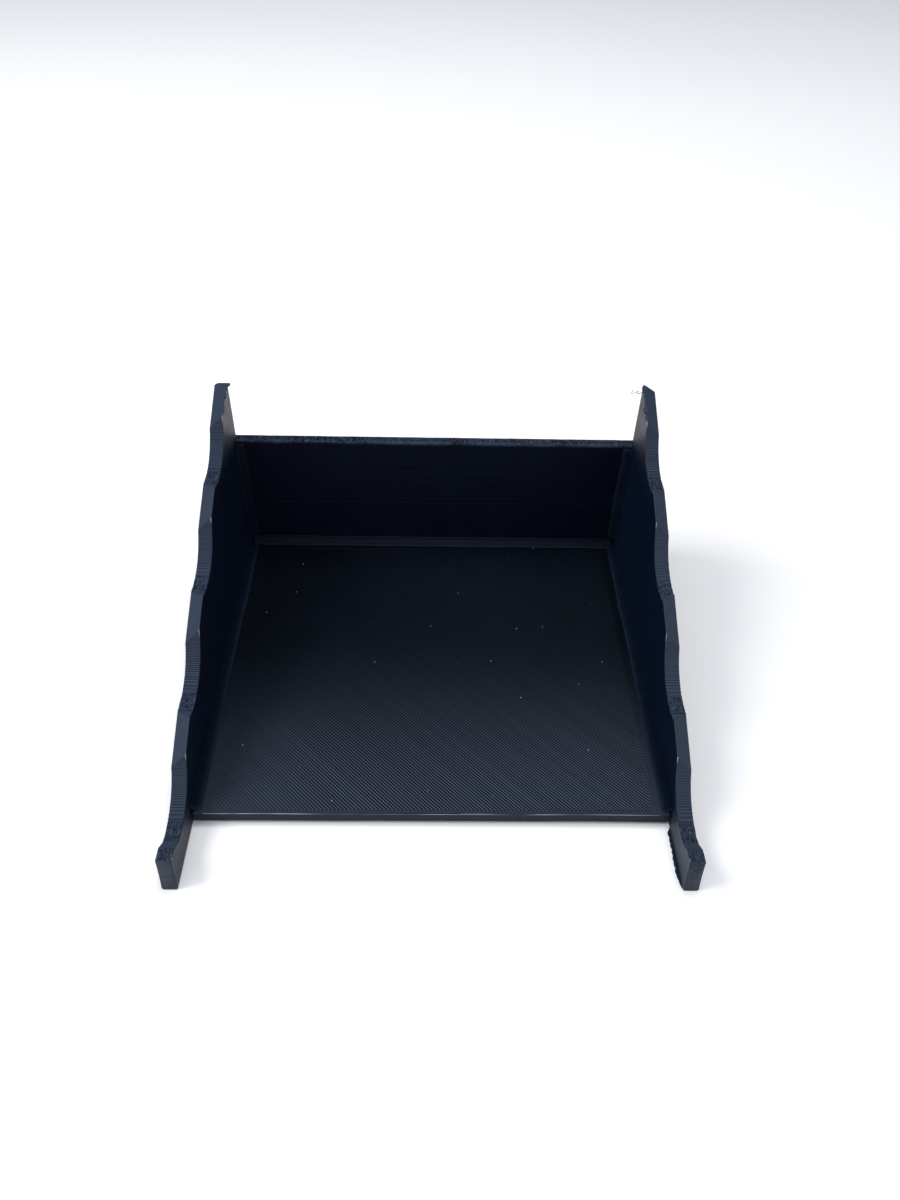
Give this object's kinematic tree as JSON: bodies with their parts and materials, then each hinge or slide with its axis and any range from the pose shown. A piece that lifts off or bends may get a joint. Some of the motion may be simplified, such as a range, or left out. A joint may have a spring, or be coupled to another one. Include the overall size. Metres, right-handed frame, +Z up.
{
  "type": "tool holder stand",
  "caption": "Stepped tabletop rack: two side panels with round cradles carry tube-shaped tools above a tray floor with a back wall.",
  "frame": {"origin": "on the tabletop, under the middle of the rack's outer box", "axes": "+X across the rack to the right, +Y from the open front to the back wall, +Z up"},
  "size_m": [0.16, 0.16, 0.0808],
  "materials": {
    "printed_plastic": "layered print, matte blue-black",
    "bonding_bead": "smooth hollow bead, satin blue-black"
  },
  "bodies": {
    "root": {"left_side_panel": "printed_plastic", "right_side_panel": "printed_plastic", "tray_floor": "printed_plastic", "back_wall": "printed_plastic", "left_floor_bead": "bonding_bead", "right_floor_bead": "bonding_bead", "rear_floor_bead": "bonding_bead", "left_wall_bead": "bonding_bead", "right_wall_bead": "bonding_bead"}
  },
  "joints": []
}
